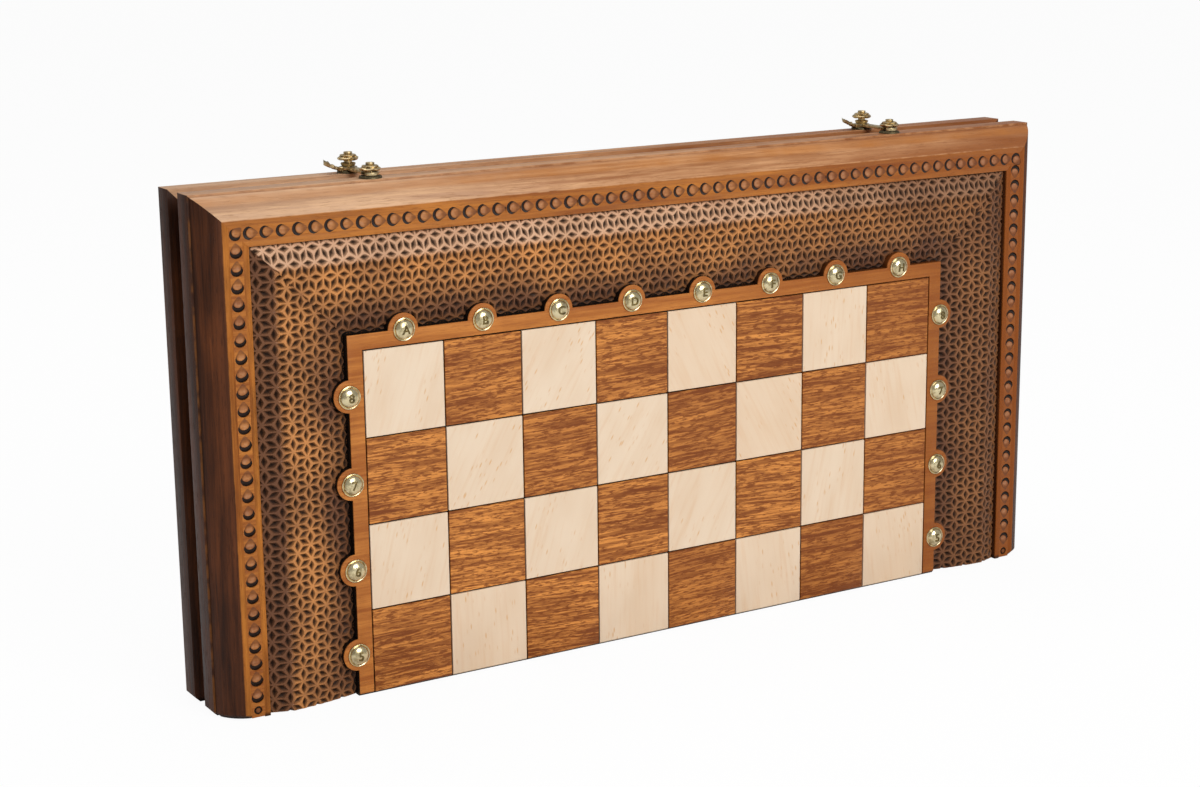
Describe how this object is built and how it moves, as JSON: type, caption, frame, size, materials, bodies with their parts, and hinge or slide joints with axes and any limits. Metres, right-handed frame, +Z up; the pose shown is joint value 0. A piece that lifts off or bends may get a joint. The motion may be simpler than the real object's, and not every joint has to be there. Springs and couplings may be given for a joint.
{
  "type": "chess and backgammon set",
  "caption": "Folding carved wooden board case: chess squares outside, backgammon tray inside, with hooks, flush hinges, chessmen, checkers and dice.",
  "frame": {"origin": "middle of the underside of the closed case, in the parting plane between the halves", "axes": "+X along the case, +Y towards the back half, +Z up"},
  "size_m": [0.6, 0.0804, 0.3114],
  "materials": {
    "stained_beech": "satin lacquer over brown stain",
    "dark_beech": "satin lacquer over dark stain",
    "edging_beech": "satin lacquer, cut ornament darkened",
    "carved_beech": "stained dark and rubbed back on the ridges",
    "board_beech": "satin lacquer over orange-brown stain",
    "light_beech": "clear satin lacquer",
    "square_beech": "satin lacquer over brown stain",
    "tray_beech": "satin lacquer over light brown stain",
    "stud_brass": "polished, lightly patinated",
    "antique_brass": "antique patina, rubbed high points",
    "hinge_brass": "brushed",
    "light_men": "clear gloss lacquer",
    "dark_men": "gloss lacquer over dark stain",
    "dice_plastic": "polished"
  },
  "bodies": {
    "front_half": {"catch_plates": "antique_brass", "catch_roses": "antique_brass", "dark_bishops": "dark_men", "dark_checkers": "dark_men", "dark_king": "dark_men", "dark_knights": "dark_men", "dark_pawns": "dark_men", "dark_queen": "dark_men", "dark_rooks": "dark_men", "dice": "dice_plastic", "front_base_panel": "tray_beech", "front_board_frame": "board_beech", "front_carved_field": "carved_beech", "front_dark_points": "dark_beech", "front_dark_squares": "square_beech", "front_edging_strips": "edging_beech", "front_hinge_leaves": "hinge_brass", "front_hinge_pins": "hinge_brass", "front_hinge_rail": "tray_beech", "front_hinge_screws": "hinge_brass", "front_left_rail": "dark_beech", "front_letter_studs": "stud_brass", "front_light_points": "light_beech", "front_light_squares": "light_beech", "front_number_studs": "stud_brass", "front_right_rail": "dark_beech", "front_top_rail": "stained_beech", "light_bishops": "light_men", "light_checkers": "light_men", "light_king": "light_men", "light_knights": "light_men", "light_pawns": "light_men", "light_queen": "light_men", "light_rooks": "light_men"},
    "hinge_links": {"hinge_links": "hinge_brass"},
    "back_half": {"back_base_panel": "tray_beech", "back_board_frame": "board_beech", "back_carved_field": "carved_beech", "back_dark_points": "dark_beech", "back_dark_squares": "square_beech", "back_edging_strips": "edging_beech", "back_hinge_leaves": "hinge_brass", "back_hinge_pins": "hinge_brass", "back_hinge_rail": "tray_beech", "back_hinge_screws": "hinge_brass", "back_left_rail": "dark_beech", "back_letter_studs": "stud_brass", "back_light_points": "light_beech", "back_light_squares": "light_beech", "back_number_studs": "stud_brass", "back_right_rail": "dark_beech", "back_top_rail": "stained_beech", "pivot_plates": "antique_brass", "pivot_roses": "antique_brass"},
    "left_hook": {"left_hook": "antique_brass"},
    "right_hook": {"right_hook": "antique_brass"}
  },
  "joints": [
    {"name": "link_swing", "type": "hinge", "parent": "front_half", "child": "hinge_links", "pos_m": [0, -0.00465, 0.0045], "axis": [-1, 0, 0], "range_deg": [0, 90]},
    {"name": "case_opening", "type": "hinge", "parent": "hinge_links", "child": "back_half", "pos_m": [0, 0.00465, 0.0045], "axis": [-1, 0, 0], "range_deg": [0, 90]},
    {"name": "left_hook_swing", "type": "hinge", "parent": "back_half", "child": "left_hook", "pos_m": [-0.187, 0.01465, 0.3027], "axis": [0, 0, 1], "range_deg": [0, 100]},
    {"name": "right_hook_swing", "type": "hinge", "parent": "back_half", "child": "right_hook", "pos_m": [0.187, 0.01465, 0.3027], "axis": [0, 0, 1], "range_deg": [0, 100]}
  ],
  "couplings": [
    {"joint": "link_swing", "follows": "case_opening", "ratio": 1}
  ]
}
